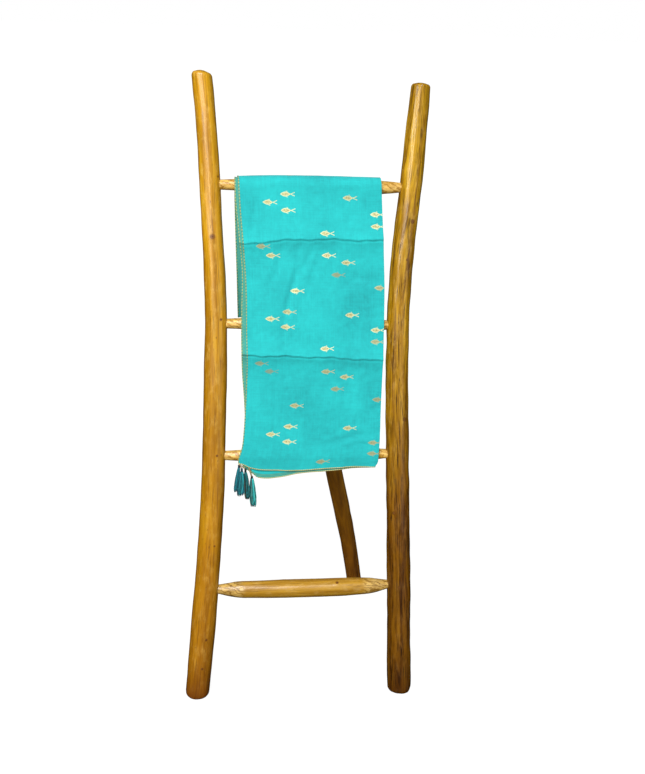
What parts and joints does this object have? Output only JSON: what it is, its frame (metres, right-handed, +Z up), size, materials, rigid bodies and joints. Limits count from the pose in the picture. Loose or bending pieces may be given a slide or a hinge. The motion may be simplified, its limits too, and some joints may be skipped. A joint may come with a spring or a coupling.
{
  "type": "blanket ladder with folded stole",
  "caption": "Freestanding ladder of peeled, varnished branches with a swinging rear prop leg, carrying a folded, tasselled printed cotton stole over its top rung.",
  "frame": {"origin": "centre of the footprint's bounding box, on the floor", "axes": "+Z up, +X along the rungs to the viewer's right, -Y towards the viewer: the ladder leans back towards +Y and the rear leg stands at +Y"},
  "size_m": [0.5656, 0.5078, 1.4611],
  "materials": {
    "golden_wood": "satin varnish over peeled branch",
    "brown_wood": "satin varnish over peeled branch, browner heartwood",
    "dark_wood": "dark stained and varnished",
    "peg_wood": "cut flush, varnished",
    "printed_cotton": "soft plain-weave cotton with gold foil fish print",
    "gold_edging": "metallised thread, dull gold",
    "teal_thread": "loose spun thread"
  },
  "bodies": {
    "ladder": {"left_post": "golden_wood", "right_post": "brown_wood", "top_rung": "golden_wood", "second_rung": "golden_wood", "third_rung": "golden_wood", "bottom_rung": "golden_wood", "top_rung_left_peg": "peg_wood", "top_rung_right_peg": "peg_wood", "second_rung_left_peg": "peg_wood", "second_rung_right_peg": "peg_wood", "third_rung_left_peg": "peg_wood", "third_rung_right_peg": "peg_wood", "bottom_rung_left_peg": "peg_wood", "bottom_rung_right_peg": "peg_wood"},
    "rear_leg": {"rear_leg": "dark_wood"},
    "stole": {"stole_cloth": "printed_cotton", "side_edging": "gold_edging", "hem_edging": "gold_edging"},
    "tassel_1": {"tassel_1_binding": "teal_thread", "tassel_1_skirt": "teal_thread"},
    "tassel_2": {"tassel_2_binding": "teal_thread", "tassel_2_skirt": "teal_thread"},
    "tassel_3": {"tassel_3_binding": "teal_thread", "tassel_3_skirt": "teal_thread"},
    "tassel_4": {"tassel_4_binding": "teal_thread", "tassel_4_skirt": "teal_thread"}
  },
  "joints": [
    {"name": "rear_leg_fold", "type": "hinge", "parent": "ladder", "child": "rear_leg", "pos_m": [0.00269, -0.06287, 0.9087], "axis": [-1, 0, 0], "range_deg": [-4, 21]},
    {"name": "stole_lift", "type": "slide", "parent": "ladder", "child": "stole", "axis": [0, 0, 1], "range_m": [0, 0.35]},
    {"name": "tassel_1_swing", "type": "hinge", "parent": "stole", "child": "tassel_1", "pos_m": [-0.15781, -0.13792, 0.584], "axis": [1, 0, 0], "range_deg": [-40, 40]},
    {"name": "tassel_2_swing", "type": "hinge", "parent": "stole", "child": "tassel_2", "pos_m": [-0.14581, -0.13792, 0.569], "axis": [1, 0, 0], "range_deg": [-40, 40]},
    {"name": "tassel_3_swing", "type": "hinge", "parent": "stole", "child": "tassel_3", "pos_m": [-0.13431, -0.13792, 0.568], "axis": [1, 0, 0], "range_deg": [-40, 40]},
    {"name": "tassel_4_swing", "type": "hinge", "parent": "stole", "child": "tassel_4", "pos_m": [-0.12031, -0.13792, 0.557], "axis": [1, 0, 0], "range_deg": [-40, 40]}
  ]
}
